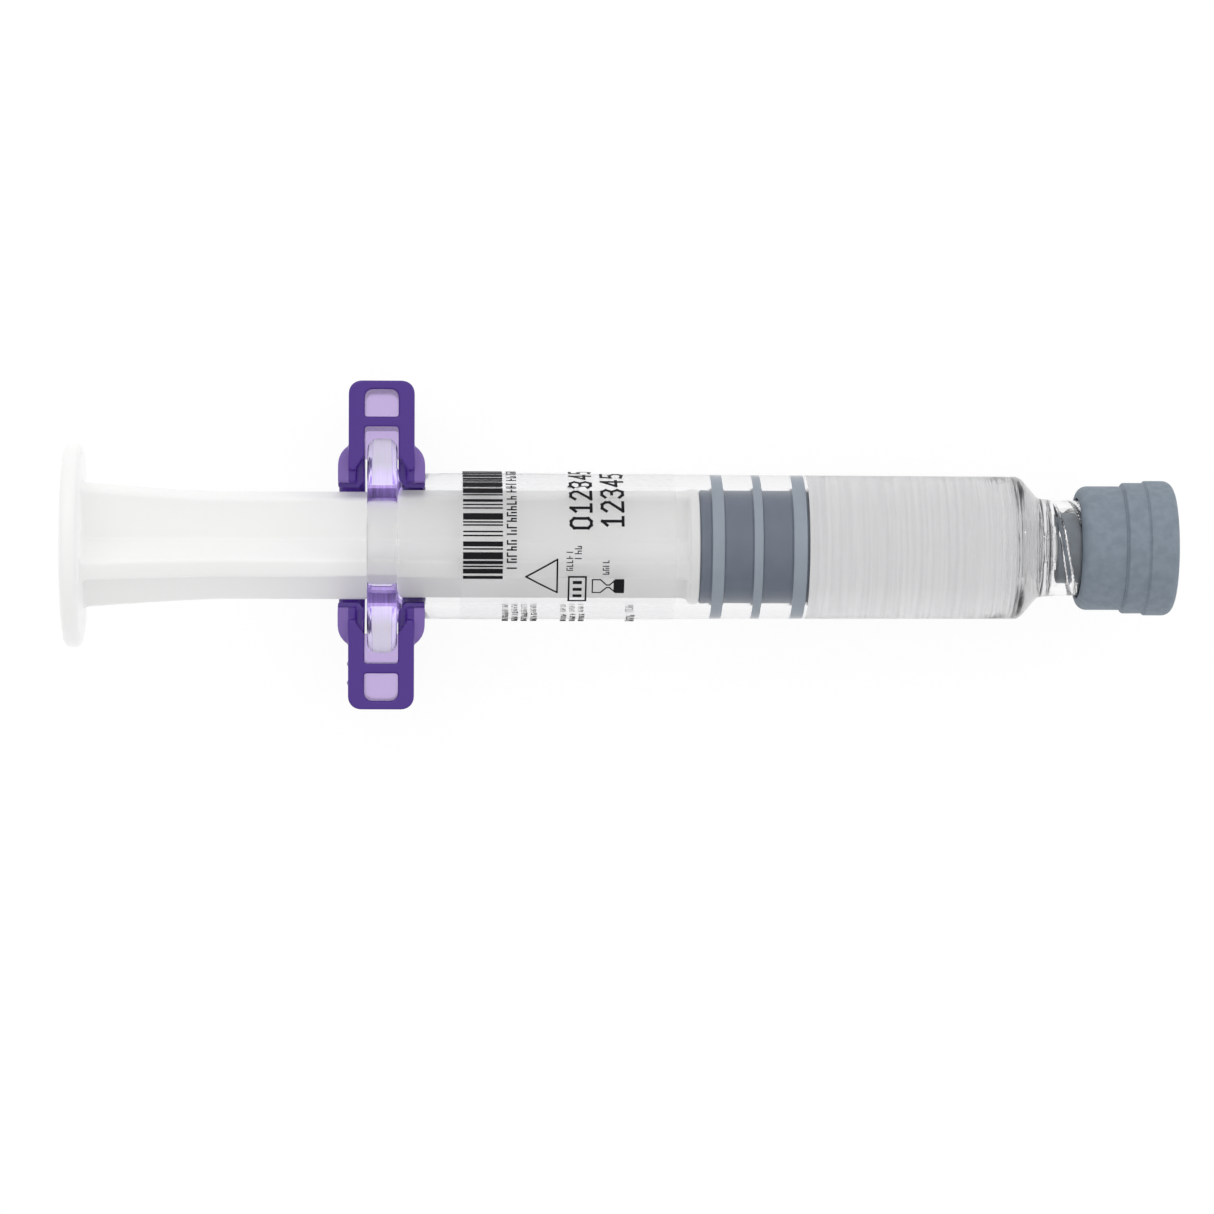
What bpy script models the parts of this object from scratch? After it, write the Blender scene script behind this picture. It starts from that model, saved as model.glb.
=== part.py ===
"""A prefilled plastic syringe with a luer-lock tip, a clip-on finger grip and a rubber tip cap.

The syringe lies on its side. Every piece is modelled about the barrel's axis, in millimetres, with
stations measured along it from the outer face of the thumb disc (station 0) towards the tip. Every
mesh is scaled to metres as it is made, and hangs on one empty that places the axis in the world.
"""

import math

import bmesh
import bpy
from mathutils import Euler, Vector

MM = 0.001
SEGMENTS = 48  # sides of every large round
FINE_SEGMENTS = 24  # sides of the small rounds
FIT = 0.1  # gap left between pieces that touch on the real syringe

# Whole syringe
LENGTH = 111.3
THUMB_DISC_R = 10.25
AXIS_Z = THUMB_DISC_R  # the thumb disc's rim is the lowest point

# Plunger rod: thumb disc, four ribs, head disc and the stub that screws into the stopper
THUMB_DISC_T = 1.8
RIB_R = 5.6
RIB_T = 2.08
RIB_CORNER_R = 0.4
RIB_ROOT_R = 0.5
RIB_FLARE = 0.95  # how much wider the ribs are where they meet the thumb disc
RIB_FLARE_LENGTH = 14.0
RIB_FLARE_POWER = 1.3
RIB_TURN = math.radians(25)
HEAD_START = 62.35
HEAD_END = 63.35
HEAD_R = 5.75
STUB_R = 2.35
STUB_END = 69.15

# Stopper
STOPPER_START = HEAD_END + FIT
STOPPER_END = 74.3
STOPPER_BODY_R = 5.55
STOPPER_REAR_R = 5.75
STOPPER_RIB_R = 5.845
STOPPER_RIBS = ((64.6, 65.75), (68.75, 69.6), (72.7, 73.95))
RIB_SLOPE = 0.25
SOCKET_R = STUB_R + 0.15
SOCKET_END = STUB_END + 0.3

# Barrel
BORE_R = 5.925
BARREL_REAR_R = 7.33
BARREL_FRONT_R = 7.175
FLANGE_START = 30.25
FLANGE_END = 33.25
FLANGE_R = 10.78
FLANGE_HALF_HEIGHT = 8.3  # the round flange has two flats
SHOULDER = 95.25  # where the bore ends
SHOULDER_OUTER = 95.75
COLLAR_START = 97.7
COLLAR_R = 4.8
COLLAR_BORE_R = 4.05
COLLAR_FLOOR = 98.35
COLLAR_END = 105.65
NOZZLE_BASE_R = 2.26
NOZZLE_TIP_R = 1.99
NOZZLE_END = 107.35
LUMEN_R = 1.0
LUMEN_START = 97.75

# Finger grip
GRIP_START = 27.35
GRIP_END = 36.0
SADDLE_HALF_WIDTH = 10.2
SADDLE_TOP = 5.8
SADDLE_BOTTOM = -10.0
SADDLE_CORNER_R = 2.2  # round of the saddle's corners, as seen from above
GRIP_BORE_R = BARREL_REAR_R + FIT
FILLET_RELIEF = 0.8  # chamfer that clears the fillet between flange and tube
SLOT_SLACK = 0.25  # the flange sits against the tip side of its slot
SLOT_HALF_WIDTH = 8.85
LEDGE_TOP = 4.85  # a sunk ledge runs along the barrel and widens round the flange
LEDGE_HALF_WIDTH = 6.2
LEDGE_MOUTH = 0.85
LEDGE_MOUTH_Y = 7.65
WING_START = 28.4
WING_END = 34.95
WING_ROOT_Y = 7.4
WING_TIP_Y = 16.3
WING_TOP = 6.4
WING_BOTTOM = -7.5
WING_FLOOR = 1.2
WING_END_WALL = 0.85
CROSSBAR_Y = 11.73
CROSSBAR_T = 1.0

# Tip cap
CAP_START = 101.65
SKIRT_R = 6.25
CAP_BAND_START = 106.2
CAP_BAND_R = 6.6
CAP_HEAD_START = 108.35
CAP_HEAD_R = 6.8
SKIRT_BORE_R = 5.0
SLEEVE_START = 99.35
SLEEVE_R = 3.55
GROOVE_END = 106.0

# Label film
LABEL_START = 39.55
LABEL_END = 60.95
LABEL_T = 0.1
LABEL_GAP = 0.06
LABEL_WRAP = math.radians(330)

CLEAR = (0.92, 0.93, 0.95, 1)
VIOLET = (0.11, 0.05, 0.26, 1)
WHITE = (0.88, 0.88, 0.87, 1)
STOPPER_GREY = (0.19, 0.23, 0.28, 1)
CAP_GREY = (0.24, 0.28, 0.33, 1)
GEL = (0.75, 0.76, 0.78, 1)


# Mesh tools -----------------------------------------------------------------------------------

def rounded(corners, steps=3):
    """A closed outline from (u, v, radius) corners, with an arc in place of each corner that has a radius."""
    points = []
    for i, (u, v, radius) in enumerate(corners):
        corner = Vector((u, v))
        if radius == 0:
            points.append(corner)
            continue
        back = (Vector(corners[i - 1][:2]) - corner).normalized()
        ahead = (Vector(corners[(i + 1) % len(corners)][:2]) - corner).normalized()
        half = back.angle(ahead) / 2
        centre = corner + (back + ahead).normalized() * radius / math.sin(half)
        start = back * radius / math.tan(half) + corner - centre
        turn = start.angle_signed(ahead * radius / math.tan(half) + corner - centre)
        for k in range(steps + 1):
            angle = math.atan2(start.y, start.x) - turn * k / steps
            points.append(centre + radius * Vector((math.cos(angle), math.sin(angle))))
    return points


def new_object(name, bm, material):
    """Scales a mesh made in millimetres to metres and hangs it on the syringe's axis."""
    bmesh.ops.remove_doubles(bm, verts=bm.verts, dist=0.001)
    bmesh.ops.recalc_face_normals(bm, faces=bm.faces)
    bmesh.ops.scale(bm, vec=Vector((MM, MM, MM)), verts=bm.verts)
    mesh = bpy.data.meshes.new(name)
    bm.to_mesh(mesh)
    bm.free()
    mesh.shade_smooth()
    mesh.set_sharp_from_angle(angle=math.radians(30))
    obj = bpy.data.objects.new(name, mesh)
    bpy.context.scene.collection.objects.link(obj)
    obj.parent = axis
    if material:
        mesh.materials.append(material)
    return obj


def turned(name, corners, material, segments=SEGMENTS, steps=2):
    """A solid turned about the syringe's axis from a closed outline of (station, radius, fillet) corners."""
    bm = bmesh.new()
    points = [bm.verts.new((p.x, 0, p.y)) for p in rounded(corners, steps)]
    edges = [bm.edges.new((points[i - 1], points[i])) for i in range(len(points))]
    bmesh.ops.spin(bm, geom=points + edges, cent=(0, 0, 0), axis=(1, 0, 0), dvec=(0, 0, 0),
                   angle=2 * math.pi, steps=segments, use_merge=True)
    return new_object(name, bm, material)


def prism(name, outline, low, high, place, material=None, bevel=0):
    """A flat outline pushed from low to high. place(u, v, w) says where an outline point at height w goes."""
    bm = bmesh.new()
    face = bm.faces.new([bm.verts.new(place(p.x, p.y, low)) for p in outline])
    move = Vector(place(0, 0, high)) - Vector(place(0, 0, low))
    top = bmesh.ops.extrude_face_region(bm, geom=[face])["geom"]
    bmesh.ops.translate(bm, vec=move, verts=[v for v in top if isinstance(v, bmesh.types.BMVert)])
    if bevel:
        ends = sorted(bm.faces, key=lambda f: len(f.verts))[-2:]
        edges = [e for f in ends for e in f.edges]
        bmesh.ops.bevel(bm, geom=edges, offset=bevel, segments=2, profile=0.5, affect="EDGES")
    return new_object(name, bm, material)


def along_x(u, v, w):
    return (w, u, v)


def along_z(u, v, w):
    return (u, v, w)


def boolean(obj, other, operation):
    """Joins or cuts obj with another solid, which then only serves as a tool."""
    other.hide_render = True
    other.display_type = "WIRE"
    modifier = obj.modifiers.new(f"{operation.lower()} {other.name}", "BOOLEAN")
    modifier.operation = operation
    modifier.solver = "EXACT"
    modifier.object = other


def material(name, color, roughness, transmission=0.0):
    made = bpy.data.materials.new(name)
    made.use_nodes = True
    shader = made.node_tree.nodes["Principled BSDF"]
    shader.inputs["Base Color"].default_value = color
    shader.inputs["Roughness"].default_value = roughness
    shader.inputs["Transmission Weight"].default_value = transmission
    made.diffuse_color = color
    return made


# Pieces ---------------------------------------------------------------------------------------

def rib_radius(station):
    """The ribs widen towards the thumb disc."""
    share = min(1, max(0, (station - THUMB_DISC_T) / RIB_FLARE_LENGTH))
    return RIB_R + RIB_FLARE * (1 - share) ** RIB_FLARE_POWER


def rib_cross(radius):
    """The outline of four ribs with rounded tips and filleted roots."""
    half = RIB_T / 2
    quarter = [(half, half, RIB_ROOT_R), (half, radius, RIB_CORNER_R), (-half, radius, RIB_CORNER_R)]
    corners = []
    for k in range(4):
        turn = math.pi / 2 * k
        for u, v, fillet in quarter:
            corners.append((u * math.cos(turn) - v * math.sin(turn),
                            u * math.sin(turn) + v * math.cos(turn), fillet))
    return rounded(corners, 2)


def make_ribs():
    """The four ribs, from inside the thumb disc to inside the head disc."""
    flare_steps = 8
    stations = [THUMB_DISC_T / 2]
    stations += [THUMB_DISC_T + RIB_FLARE_LENGTH * k / flare_steps for k in range(flare_steps + 1)]
    stations.append((HEAD_START + HEAD_END) / 2)
    bm = bmesh.new()
    rings = []
    for station in stations:
        rings.append([bm.verts.new((station, p.x, p.y)) for p in rib_cross(rib_radius(station))])
    for ring, following in zip(rings, rings[1:]):
        for i in range(len(ring)):
            bm.faces.new((ring[i - 1], ring[i], following[i], following[i - 1]))
    bm.faces.new(rings[0])
    bm.faces.new(rings[-1])
    ribs = new_object("rib tool", bm, None)
    ribs.rotation_euler = Euler((RIB_TURN, 0, 0))
    return ribs


def make_plunger_rod(plastic):
    """One moulding: a thumb disc, four ribs, a head disc and a stub."""
    rod = turned("plunger_rod", [
        (0, 0, 0), (0, THUMB_DISC_R, 0.7), (THUMB_DISC_T, THUMB_DISC_R, 0.7), (THUMB_DISC_T, 0, 0),
    ], plastic)
    head = turned("head tool", [
        (HEAD_START, 0, 0), (HEAD_START, HEAD_R, 0.2), (HEAD_END, HEAD_R, 0.2),
        (HEAD_END, STUB_R, 0), (STUB_END, STUB_R, 0.4), (STUB_END, 0, 0),
    ], None)
    boolean(rod, make_ribs(), "UNION")
    boolean(rod, head, "UNION")
    return rod


def make_stopper(rubber):
    """A rubber stopper with three sealing ribs and a blind socket for the rod's stub."""
    corners = [(STOPPER_START, SOCKET_R, 0), (STOPPER_START, STOPPER_REAR_R, 0.2)]
    before = STOPPER_REAR_R
    for start, end in STOPPER_RIBS:
        corners += [(start - RIB_SLOPE, before, 0), (start, STOPPER_RIB_R, 0), (end, STOPPER_RIB_R, 0),
                    (end + RIB_SLOPE, STOPPER_BODY_R, 0)]
        before = STOPPER_BODY_R
    corners += [(STOPPER_END, STOPPER_BODY_R - RIB_SLOPE, 0), (STOPPER_END, 0, 0),
                (SOCKET_END, 0, 0), (SOCKET_END, SOCKET_R, 0.4)]
    return turned("stopper", corners, rubber)


def make_barrel(plastic):
    """One clear moulding: flange, tube, shoulder, luer-lock collar and nozzle."""
    barrel = turned("barrel", [
        (FLANGE_START, BORE_R + 0.2, 0), (FLANGE_START, FLANGE_R, 1.4), (FLANGE_END, FLANGE_R, 1.4),
        (FLANGE_END, BARREL_REAR_R, 0.5), (SHOULDER_OUTER, BARREL_FRONT_R, 1.2),
        (COLLAR_START, COLLAR_R + 0.2, 0.8), (COLLAR_START + 1.75, COLLAR_R, 0),
        (COLLAR_END, COLLAR_R, 0.25), (COLLAR_END, COLLAR_BORE_R, 0.2),
        (COLLAR_FLOOR, COLLAR_BORE_R, 0.4), (COLLAR_FLOOR, NOZZLE_BASE_R, 0.4),
        (NOZZLE_END, NOZZLE_TIP_R, 0.3), (NOZZLE_END, LUMEN_R, 0), (LUMEN_START, LUMEN_R, 0.5),
        (SHOULDER, BORE_R, 0.6), (FLANGE_START + 0.3, BORE_R, 0),
    ], plastic)
    for side in (-1, 1):
        low, high = sorted((side * FLANGE_HALF_HEIGHT, side * (FLANGE_R + 2)))
        span = FLANGE_R + 2
        outline = rounded([(FLANGE_START - 1, -span, 0), (FLANGE_END + 1, -span, 0),
                           (FLANGE_END + 1, span, 0), (FLANGE_START - 1, span, 0)])
        boolean(barrel, prism(f"flat tool {side}", outline, low, high, along_z), "DIFFERENCE")
    return barrel


def rectangle(x0, x1, y0, y1, radius=0):
    return rounded([(x0, y0, radius), (x1, y0, radius), (x1, y1, radius), (x0, y1, radius)])


def mirrored(points):
    """Closes an outline that is drawn on the +Y side only."""
    return rounded(points + [(x, -y, r) for x, y, r in reversed(points)], 5)


def make_finger_grip(plastic):
    """A clip: a saddle that snaps round the barrel, two hollow wings and a slot that holds the flange."""
    below, above = SADDLE_BOTTOM - 1, WING_TOP + 2
    slot_start, slot_end = FLANGE_START - SLOT_SLACK, FLANGE_END + FIT
    saddle = rounded([
        (-SADDLE_HALF_WIDTH, SADDLE_TOP, 1.2), (-SADDLE_HALF_WIDTH, SADDLE_BOTTOM, 5.5),
        (SADDLE_HALF_WIDTH, SADDLE_BOTTOM, 5.5), (SADDLE_HALF_WIDTH, SADDLE_TOP, 1.2),
    ], 5)
    grip = prism("finger_grip", saddle, GRIP_START, GRIP_END, along_x, plastic, bevel=0.2)
    plan = rectangle(GRIP_START, GRIP_END, -SADDLE_HALF_WIDTH, SADDLE_HALF_WIDTH, SADDLE_CORNER_R)
    boolean(grip, prism("corner tool", plan, below, above, along_z), "INTERSECT")
    for side in (-1, 1):
        wing = rounded([(WING_START, side * WING_ROOT_Y, 0.4), (WING_START, side * WING_TIP_Y, 1.2),
                        (WING_END, side * WING_TIP_Y, 1.2), (WING_END, side * WING_ROOT_Y, 0.4)], 5)
        boolean(grip, prism(f"wing tool {side}", wing, WING_BOTTOM, WING_TOP, along_z, bevel=0.3), "UNION")
    boolean(grip, turned("bore tool", [
        (GRIP_START - 1, 0, 0), (GRIP_START - 1, GRIP_BORE_R, 0),
        (FLANGE_START - FILLET_RELIEF, GRIP_BORE_R, 0), (FLANGE_START, GRIP_BORE_R + FILLET_RELIEF, 0),
        (FLANGE_END, GRIP_BORE_R + FILLET_RELIEF, 0), (FLANGE_END + FILLET_RELIEF, GRIP_BORE_R, 0),
        (GRIP_END + 1, GRIP_BORE_R, 0), (GRIP_END + 1, 0, 0),
    ], None), "DIFFERENCE")
    floor = WING_BOTTOM + WING_FLOOR
    for side in (-1, 1):
        pocket = (side * (CROSSBAR_Y + CROSSBAR_T), side * (WING_TIP_Y - WING_END_WALL))
        outline = rectangle(slot_start, slot_end, *sorted(pocket), 0.6)
        boolean(grip, prism(f"pocket tool {side}", outline, floor, above, along_z), "DIFFERENCE")
    channel = rectangle(slot_start, slot_end, -CROSSBAR_Y, CROSSBAR_Y)
    boolean(grip, prism("channel tool", channel, floor, above, along_z), "DIFFERENCE")
    slot = rectangle(slot_start, slot_end, -SLOT_HALF_WIDTH, SLOT_HALF_WIDTH)
    boolean(grip, prism("slot tool", slot, below, floor + 1, along_z), "DIFFERENCE")
    ledge = mirrored([
        (GRIP_START - 1, LEDGE_HALF_WIDTH, 0), (slot_start - LEDGE_MOUTH, LEDGE_HALF_WIDTH, 0),
        (slot_start - LEDGE_MOUTH, LEDGE_MOUTH_Y, 0), (slot_start, SLOT_HALF_WIDTH, 0),
        (slot_end, SLOT_HALF_WIDTH, 0), (slot_end + LEDGE_MOUTH, LEDGE_MOUTH_Y, 0),
        (slot_end + LEDGE_MOUTH, LEDGE_HALF_WIDTH, 0), (GRIP_END + 1, LEDGE_HALF_WIDTH, 0),
    ])
    boolean(grip, prism("ledge tool", ledge, LEDGE_TOP, above, along_z), "DIFFERENCE")
    return grip


def nozzle_radius(station):
    share = (station - COLLAR_FLOOR) / (NOZZLE_END - COLLAR_FLOOR)
    return NOZZLE_BASE_R + (NOZZLE_TIP_R - NOZZLE_BASE_R) * share


def make_tip_cap(rubber):
    """A rubber cap: a skirt round the collar, and a sleeve inside the collar that seals the nozzle."""
    blind_end = NOZZLE_END + 0.3
    return turned("tip_cap", [
        (CAP_START, SKIRT_BORE_R, 0), (CAP_START, SKIRT_R, 0.9), (CAP_BAND_START, SKIRT_R, 0.3),
        (CAP_BAND_START, CAP_BAND_R, 0.15), (CAP_HEAD_START, CAP_BAND_R, 0.1),
        (CAP_HEAD_START, CAP_HEAD_R, 0.1),
        (LENGTH, CAP_HEAD_R, 1.0), (LENGTH, 0, 0), (blind_end, 0, 0),
        (blind_end, nozzle_radius(blind_end) + FIT, 0),
        (SLEEVE_START, nozzle_radius(SLEEVE_START) + FIT, 0), (SLEEVE_START, SLEEVE_R, 0.3),
        (GROOVE_END, SLEEVE_R, 0.3), (GROOVE_END, SKIRT_BORE_R, 0.3),
    ], rubber)


def make_label(film):
    """A clear film wrapped most of the way round the barrel, with its gap at the back."""
    bm = bmesh.new()
    tube_r = BARREL_REAR_R + LABEL_GAP
    ring = [(LABEL_START, tube_r), (LABEL_END, tube_r), (LABEL_END, tube_r + LABEL_T),
            (LABEL_START, tube_r + LABEL_T)]
    start = bm.faces.new([bm.verts.new((x, 0, r)) for x, r in ring])
    bmesh.ops.rotate(bm, verts=bm.verts, cent=(0, 0, 0),
                     matrix=Euler((-LABEL_WRAP / 2, 0, 0)).to_matrix())
    geom = [start] + start.edges[:] + start.verts[:]
    bmesh.ops.spin(bm, geom=geom, cent=(0, 0, 0), axis=(1, 0, 0), dvec=(0, 0, 0),
                   angle=LABEL_WRAP, steps=SEGMENTS - 4)
    return new_object("label", bm, film)


def make_gel(gel):
    """The filling: a column ahead of the stopper, and the part that fills the shoulder and the nozzle."""
    radius = BORE_R - FIT
    turned("gel_column", [
        (STOPPER_END + FIT, 0, 0), (STOPPER_END + FIT, radius, 0),
        (SHOULDER - FIT, radius, 0), (SHOULDER - FIT, 0, 0),
    ], gel)
    turned("gel_tip", [
        (SHOULDER + FIT, 0, 0), (SHOULDER + FIT, radius - 0.7, 0), (LUMEN_START, LUMEN_R - FIT, 0),
        (NOZZLE_END, LUMEN_R - FIT, 0), (NOZZLE_END, 0, 0),
    ], gel, FINE_SEGMENTS)


for old in list(bpy.data.objects):
    bpy.data.objects.remove(old)

axis = bpy.data.objects.new("syringe axis", None)
bpy.context.scene.collection.objects.link(axis)
axis.location = (-LENGTH / 2 * MM, 0, AXIS_Z * MM)

make_plunger_rod(material("white plastic", WHITE, 0.35))
make_stopper(material("stopper rubber", STOPPER_GREY, 0.55))
make_barrel(material("clear plastic", CLEAR, 0.05, 1.0))
make_finger_grip(material("violet plastic", VIOLET, 0.3))
make_tip_cap(material("cap rubber", CAP_GREY, 0.6))
make_label(material("clear film", CLEAR, 0.1, 1.0))
make_gel(material("clear gel", GEL, 0.1, 1.0))
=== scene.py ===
# %% [markdown]
# # A prefilled luer-lock syringe
# The solids in the frame already have every size and joint of the syringe: a clear barrel, a ribbed
# plunger rod with its rubber stopper, a clip-on finger grip, a rubber tip cap, a label and the gel.
# They are coarse, so each one gets a finer piece here, turned or moulded to the same sizes, and a
# finish of its own. Nothing is moved: a fine piece takes the place of a coarse one, and rides on the
# same body, so that the plunger still pushes and the cap still pulls off.

# %% Load the frame
import math
import random

import bmesh
import bpy
from mathutils import Euler, Matrix, Vector


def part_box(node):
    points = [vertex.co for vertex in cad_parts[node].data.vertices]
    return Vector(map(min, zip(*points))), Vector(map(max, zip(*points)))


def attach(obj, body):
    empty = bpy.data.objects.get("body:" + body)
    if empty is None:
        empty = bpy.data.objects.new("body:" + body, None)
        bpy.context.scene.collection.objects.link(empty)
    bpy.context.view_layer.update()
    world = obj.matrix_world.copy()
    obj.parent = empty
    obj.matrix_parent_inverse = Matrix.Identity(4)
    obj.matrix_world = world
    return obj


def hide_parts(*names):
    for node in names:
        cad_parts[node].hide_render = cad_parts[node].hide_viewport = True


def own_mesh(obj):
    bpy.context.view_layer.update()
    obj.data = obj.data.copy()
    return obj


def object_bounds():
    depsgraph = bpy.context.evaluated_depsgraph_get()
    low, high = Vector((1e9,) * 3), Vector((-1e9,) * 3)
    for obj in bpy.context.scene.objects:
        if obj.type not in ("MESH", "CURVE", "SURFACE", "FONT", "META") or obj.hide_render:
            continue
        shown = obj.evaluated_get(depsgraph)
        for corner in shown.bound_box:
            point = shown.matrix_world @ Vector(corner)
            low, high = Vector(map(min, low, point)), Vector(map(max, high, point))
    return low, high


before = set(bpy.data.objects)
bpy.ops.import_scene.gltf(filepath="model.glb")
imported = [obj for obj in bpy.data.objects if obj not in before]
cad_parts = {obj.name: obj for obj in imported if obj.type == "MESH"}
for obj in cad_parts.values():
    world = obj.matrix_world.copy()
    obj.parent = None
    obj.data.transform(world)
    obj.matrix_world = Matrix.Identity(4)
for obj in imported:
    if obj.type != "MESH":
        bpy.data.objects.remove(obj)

cad_low, cad_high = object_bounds()
print("nodes:", ", ".join(sorted(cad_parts)))

# %% [markdown]
# ## Measuring along the axis
# A syringe is a turned object, so its drawing is a list of stations along one axis. Here a station is
# a distance in millimetres from the outer face of the thumb disc, and a radius is measured from the
# axis. The stations that other pieces depend on are read from the frame, and not typed again.

# %% Stations and radii
MM = 0.001
rod_low, rod_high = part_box("plunger_rod")
thumb_x, axis_z = rod_low.x, (rod_low.z + rod_high.z) / 2


def station(x):
    """Millimetres along the axis from the thumb disc's outer face."""
    return (x - thumb_x) / MM


def span(node):
    """First and last station of a coarse node."""
    low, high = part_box(node)
    return station(low.x), station(high.x)


def reach(node):
    """The greatest radius of a coarse node, from its box."""
    low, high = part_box(node)
    return (high.y - low.y) / 2 / MM


flange_start, nozzle_end = span("barrel")
stopper_start, stopper_end = span("stopper")
sleeve_start, cap_end = span("tip_cap")
grip_start, grip_end = span("finger_grip")
label_start, label_end = span("label")
label_r = (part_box("label")[1].z - axis_z) / MM
print(f"stopper {stopper_start:.1f} to {stopper_end:.1f}, cap ends at {cap_end:.2f}")
print(f"label radius {label_r:.2f}")

# %% [markdown]
# ## Turning a piece
# The barrel, stopper, cap and gel are all round, so one helper makes them: it takes the closed outline
# of half a section and turns it about the axis. A Screw modifier would do the same, but here some
# pieces aren't quite round: the flange has flats and the collar has a thread inside. A turned mesh
# made in code lets a small function move each point as it is placed.

# %% Helper: rounded outlines
SIDES = 144


def rounded(corners, steps=6):
    """A closed outline from (u, v, radius) corners, with an arc at each corner that has a radius."""
    points = []
    for i, (u, v, radius) in enumerate(corners):
        corner = Vector((u, v))
        if radius == 0:
            points.append(corner)
            continue
        back = (Vector(corners[i - 1][:2]) - corner).normalized()
        ahead = (Vector(corners[(i + 1) % len(corners)][:2]) - corner).normalized()
        half = back.angle(ahead) / 2
        centre = corner + (back + ahead).normalized() * radius / math.sin(half)
        start = back * radius / math.tan(half) + corner - centre
        turn = start.angle_signed(ahead * radius / math.tan(half) + corner - centre)
        first = math.atan2(start.y, start.x)
        for k in range(steps + 1):
            angle = first - turn * k / steps
            points.append(centre + radius * Vector((math.cos(angle), math.sin(angle))))
    return points


def finer(points, start, end, step):
    """Adds points to the long straight runs of an outline between two stations."""
    made = []
    for i, point in enumerate(points):
        before = points[i - 1]
        length = (point - before).length
        if length > step and min(point.x, before.x) >= start and max(point.x, before.x) <= end:
            pieces = math.ceil(length / step)
            made += [before.lerp(point, k / pieces) for k in range(1, pieces)]
        made.append(point)
    return made


# %% Helper: the lathe
def at(along, radius, angle):
    """A point in the frame. Angle 0 is straight up and a quarter turn is +Y."""
    return (thumb_x + along * MM, radius * math.sin(angle) * MM, axis_z + radius * math.cos(angle) * MM)


def finish_mesh(name, vertices, faces, sharp=35):
    mesh = bpy.data.meshes.new(name)
    mesh.from_pydata(vertices, [], faces)
    bm = bmesh.new()
    bm.from_mesh(mesh)
    bmesh.ops.recalc_face_normals(bm, faces=bm.faces)
    bm.to_mesh(mesh)
    bm.free()
    mesh.shade_smooth()
    mesh.set_sharp_from_angle(angle=math.radians(sharp))
    obj = bpy.data.objects.new(name, mesh)
    bpy.context.scene.collection.objects.link(obj)
    return obj


def lathe(name, outline, shape=None, sides=SIDES):
    """Turns a closed outline of (station, radius) points. shape can move each point by its angle."""
    vertices, faces, rings = [], [], []
    for point in outline:
        ring = []
        for k in range(sides if point.y > 1e-4 else 1):
            angle = 2 * math.pi * k / sides
            along, radius = shape(point.x, point.y, angle) if shape else (point.x, point.y)
            ring.append(len(vertices))
            vertices.append(at(along, radius, angle))
        rings.append(ring)
    for i, ring in enumerate(rings):
        before = rings[i - 1]
        for k in range(sides if len(ring) + len(before) > 2 else 0):
            loop = [before[k % len(before)], before[(k + 1) % sides % len(before)],
                    ring[(k + 1) % sides % len(ring)], ring[k % len(ring)]]
            faces.append(list(dict.fromkeys(loop)))
    obj = finish_mesh(name, vertices, faces)
    print(f"{name}: {len(faces)} faces")
    return obj


# %% [markdown]
# ## The barrel
# One clear moulding: an oblong finger flange with a full round edge, a tube with a slight draft, a
# steep shoulder, and at the tip a collar round a tapered nozzle. Inside the collar runs the thread
# that a needle hub screws into, with two starts. The flats of the flange and the thread are both
# made by the lathe's shape function, so the barrel stays one clean closed skin, which clear plastic
# needs: a ray that meets a stray inner face would bend where nothing is.

# %% Barrel sizes
BORE_R = 5.925
TUBE_REAR_R, TUBE_FRONT_R = 7.33, 7.175
FLANGE_R, FLANGE_T, FLANGE_FLAT, FLANGE_EDGE = 10.78, 3.0, 8.3, 1.05
FLANGE_ROOT = TUBE_REAR_R + 0.6  # top of the fillet between tube and flange
EASE = 24  # a higher power keeps the corner between flat and round sharper
RIDGE, RIDGE_PITCH = 0.025, 0.6  # faint ridges round the rim
flange_end = flange_start + FLANGE_T
SHOULDER, SHOULDER_OUTER = 95.25, 95.75
COLLAR_R, COLLAR_BORE_R = 4.8, 4.05
COLLAR_START, COLLAR_FLOOR, COLLAR_END = 97.7, 98.35, 105.65
NOZZLE_BASE_R, NOZZLE_TIP_R, LUMEN_R, LUMEN_START = 2.26, 1.99, 1.0, 97.75
THREAD_LEAD, THREAD_STARTS, THREAD_HEIGHT, THREAD_WIDTH = 5.0, 2, 0.42, 0.9


# %% Barrel shape: flats and ridges on the flange, a thread in the collar
def flange_radius(radius, angle):
    """Pulls the flange's rim in to its flats, and eases the corner between flat and round."""
    flat = FLANGE_FLAT / max(abs(math.cos(angle)), 1e-3)
    rim = (FLANGE_R ** -EASE + flat ** -EASE) ** (-1 / EASE)
    share = min(1, max(0, (radius - FLANGE_ROOT) / (FLANGE_R - 1.5 - FLANGE_ROOT)))
    return radius - (FLANGE_R - rim) * share


def thread_height(along, angle):
    """Height of the thread's ridge: flat on top, with sloping flanks, and fading out at both ends."""
    phase = (along / THREAD_LEAD + angle / (2 * math.pi)) * THREAD_STARTS
    off = abs(phase - round(phase)) * THREAD_LEAD / THREAD_STARTS
    flank = min(1, max(0, (THREAD_WIDTH / 2 - off) / (THREAD_WIDTH * 0.28)))
    fade = min(1, max(0, along - COLLAR_FLOOR - 0.7), max(0, (COLLAR_END - 0.4 - along) * 2))
    return THREAD_HEIGHT * fade * flank * flank * (3 - 2 * flank)


def barrel_shape(along, radius, angle):
    if along < flange_end + 0.7 and radius > FLANGE_ROOT:
        ridge = RIDGE * (math.cos(2 * math.pi * (along - flange_start) / RIDGE_PITCH) - 1)
        return along, flange_radius(radius, angle) + ridge
    if abs(radius - COLLAR_BORE_R) < 0.01 and COLLAR_FLOOR < along < COLLAR_END:
        return along, radius - thread_height(along, angle)
    return along, radius


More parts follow.
